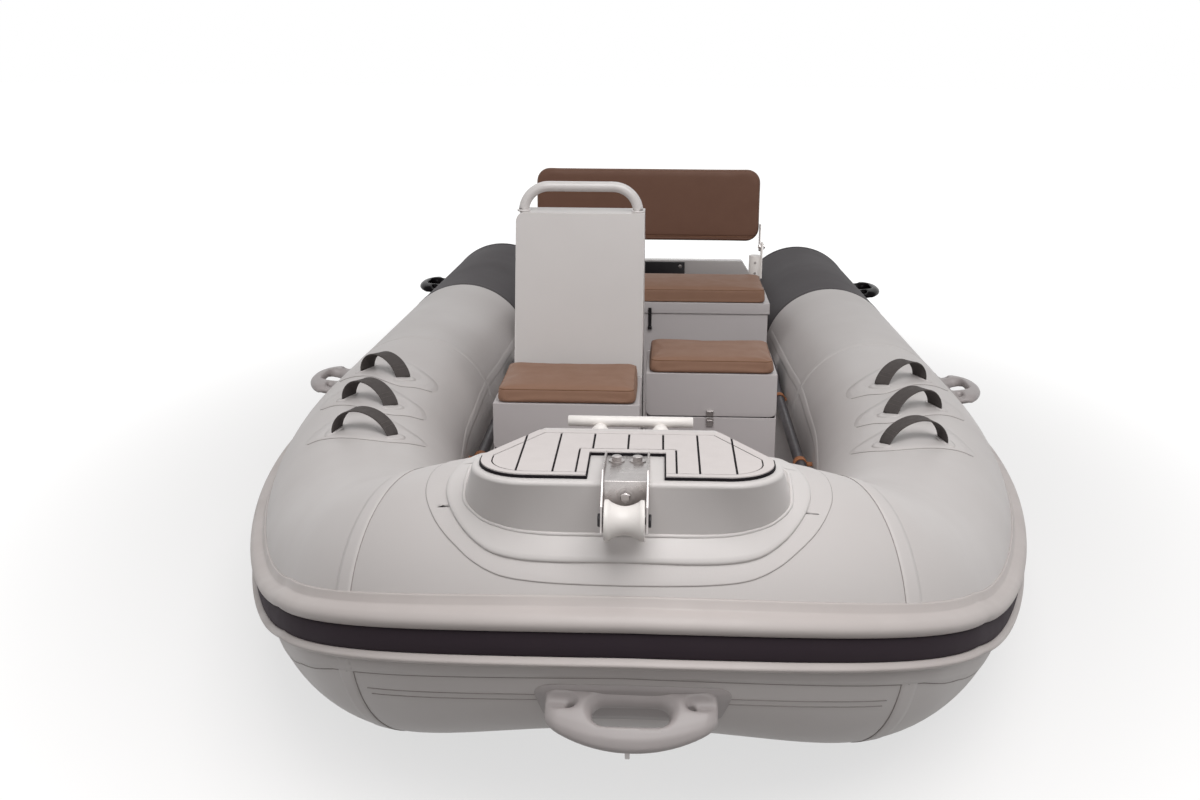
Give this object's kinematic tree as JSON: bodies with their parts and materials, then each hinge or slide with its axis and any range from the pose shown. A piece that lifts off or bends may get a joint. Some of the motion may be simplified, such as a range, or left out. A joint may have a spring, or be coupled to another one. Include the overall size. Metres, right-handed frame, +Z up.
{
  "type": "rigid inflatable boat",
  "caption": "Small rigid inflatable boat with an air tube collar, steering console, padded seat lockers, folding backrest and bow step.",
  "frame": {"origin": "on the centreline amidships at the water's surface", "axes": "+X to port, +Y aft, +Z up"},
  "size_m": [1.715, 4.0328, 1.0389],
  "materials": {
    "tube_light": "satin",
    "tube_dark": "satin",
    "strake_light": "satin",
    "strake_band": "satin",
    "gelcoat": "gloss",
    "deck_coat": "satin",
    "painted_locker": "satin",
    "upholstery": "satin",
    "step_paint": "satin",
    "deck_pad": "matte",
    "stainless": "satin",
    "white_moulding": "gloss",
    "black_moulding": "gloss",
    "handle_rubber": "satin",
    "webbing": "matte",
    "strap_brown": "matte",
    "oar_dark": "satin",
    "wheel_black": "satin"
  },
  "bodies": {
    "boat": {"backrest_posts": "white_moulding", "bench_box": "painted_locker", "bench_hinge": "stainless", "bow_cleat": "white_moulding", "bow_step": "step_paint", "bow_step_flange": "step_paint", "bow_step_pad": "deck_pad", "carry_handle_aft_port": "handle_rubber", "carry_handle_aft_starboard": "handle_rubber", "carry_handle_side_port": "handle_rubber", "carry_handle_side_starboard": "handle_rubber", "console_body": "painted_locker", "console_grab_rail": "white_moulding", "console_seat_box": "painted_locker", "console_seat_hinge": "stainless", "deck_floor": "deck_coat", "helm_boss": "wheel_black", "hull": "gelcoat", "keel_and_stem": "stainless", "motor_pad_inner": "black_moulding", "motor_pad_outer": "black_moulding", "oar_port": "oar_dark", "oar_starboard": "oar_dark", "oar_straps_port": "strap_brown", "oar_straps_starboard": "strap_brown", "port_seat_box": "painted_locker", "port_seat_hinge": "stainless", "port_seat_latch": "stainless", "roller_bracket": "stainless", "roller_pin": "black_moulding", "stern_eyes": "stainless", "strake_band": "strake_band", "strake_lower_rail": "strake_light", "strake_upper_rail": "strake_light", "strap_handles_port": "webbing", "strap_handles_starboard": "webbing", "tow_handle_bow": "handle_rubber", "transom": "gelcoat", "tube_aft_port": "tube_dark", "tube_aft_starboard": "tube_dark", "tube_bow": "tube_light", "tube_port": "tube_light", "tube_starboard": "tube_light"},
    "console_lid": {"console_seat_lid": "painted_locker", "console_seat_cushion": "upholstery"},
    "port_lid": {"port_seat_lid": "painted_locker", "port_seat_cushion": "upholstery"},
    "bench_top": {"bench_lid": "painted_locker", "bench_cushion": "upholstery"},
    "backrest": {"backrest_pad": "upholstery", "backrest_arms": "stainless"},
    "helm_wheel": {"steering_wheel": "wheel_black"},
    "anchor_roller": {"bow_roller": "white_moulding"}
  },
  "joints": [
    {"name": "console_lid_hinge", "type": "hinge", "parent": "boat", "child": "console_lid", "pos_m": [-0.16, -0.48, 0.414], "axis": [-1, 0, 0], "range_deg": [0, 75]},
    {"name": "port_lid_hinge", "type": "hinge", "parent": "boat", "child": "port_lid", "pos_m": [0.17, -0.196, 0.414], "axis": [-1, 0, 0], "range_deg": [0, 100]},
    {"name": "bench_lid_hinge", "type": "hinge", "parent": "boat", "child": "bench_top", "pos_m": [0, 0.777, 0.414], "axis": [-1, 0, 0], "range_deg": [0, 70]},
    {"name": "backrest_hinge", "type": "hinge", "parent": "boat", "child": "backrest", "pos_m": [0, 0.853, 0.537], "axis": [-1, 0, 0], "range_deg": [-80, 15]},
    {"name": "wheel_spin", "type": "hinge", "parent": "boat", "child": "helm_wheel", "pos_m": [-0.152, -0.04705, 0.55743], "axis": [0, 0.9465, 0.3227], "range_deg": [-540, 540]},
    {"name": "roller_spin", "type": "hinge", "parent": "boat", "child": "anchor_roller", "pos_m": [0, -1.986, 0.588], "axis": [1, 0, 0], "continuous": true}
  ]
}
